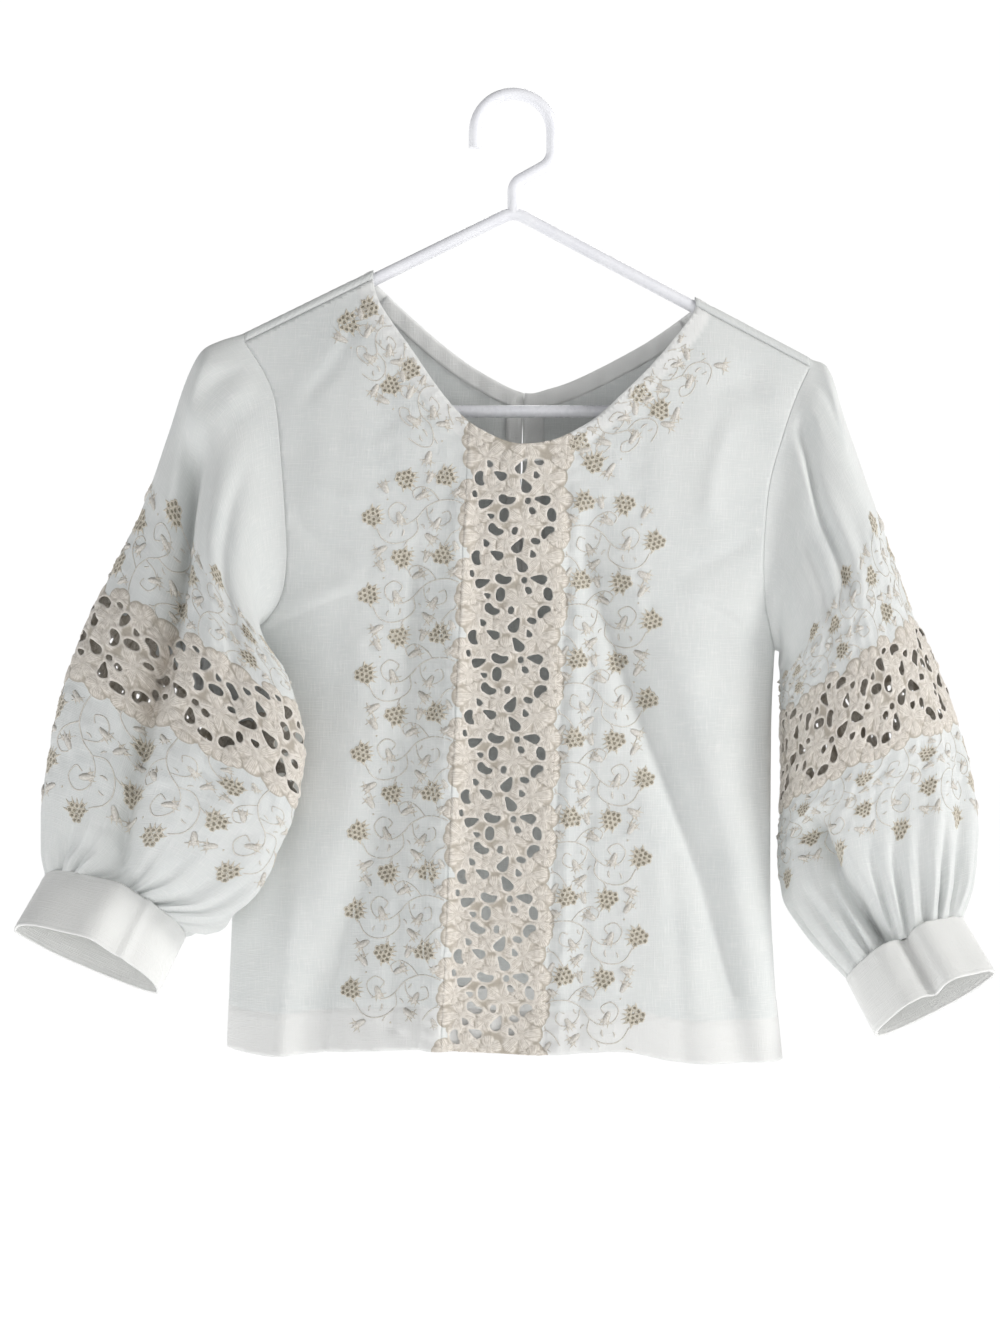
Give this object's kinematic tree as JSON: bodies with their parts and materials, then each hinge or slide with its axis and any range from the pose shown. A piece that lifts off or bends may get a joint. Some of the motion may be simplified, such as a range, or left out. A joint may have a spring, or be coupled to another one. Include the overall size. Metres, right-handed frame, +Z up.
{
  "type": "puff-sleeve top on a hanger",
  "caption": "Short white puff-sleeve top with cutwork bands down the front and round the sleeves, gathered cuffs and an open back slit, on a tubular hanger.",
  "frame": {"origin": "where a rail touches the inside of the hanger's hook, in the middle of the hanger's thickness", "axes": "+Z up; the top's front faces -Y; +X to the right as the front is seen"},
  "size_m": [0.6231, 0.1189, 0.6256],
  "materials": {
    "cloth": "matt white plain weave",
    "cutwork": "matt ecru embroidery on white cloth",
    "hanger": "glossy white plastic",
    "button": "satin white plastic and thread"
  },
  "bodies": {
    "root": {"front_left": "cloth", "front_right": "cloth", "back": "cloth", "front_left_hem_fold": "cloth", "front_band_hem_fold": "cloth", "front_right_hem_fold": "cloth", "back_hem_fold": "cloth", "front_neck_facing": "cloth", "back_neck_facing_left": "cloth", "back_neck_facing_right": "cloth", "slit_facing_left": "cloth", "slit_facing_right": "cloth", "sleeve_left_front": "cloth", "sleeve_left_back": "cloth", "sleeve_right_front": "cloth", "sleeve_right_back": "cloth", "cuff_left": "cloth", "cuff_right": "cloth", "front_cutwork_band": "cutwork", "hanger": "hanger", "back_button": "button", "back_button_loop": "button"}
  },
  "joints": []
}
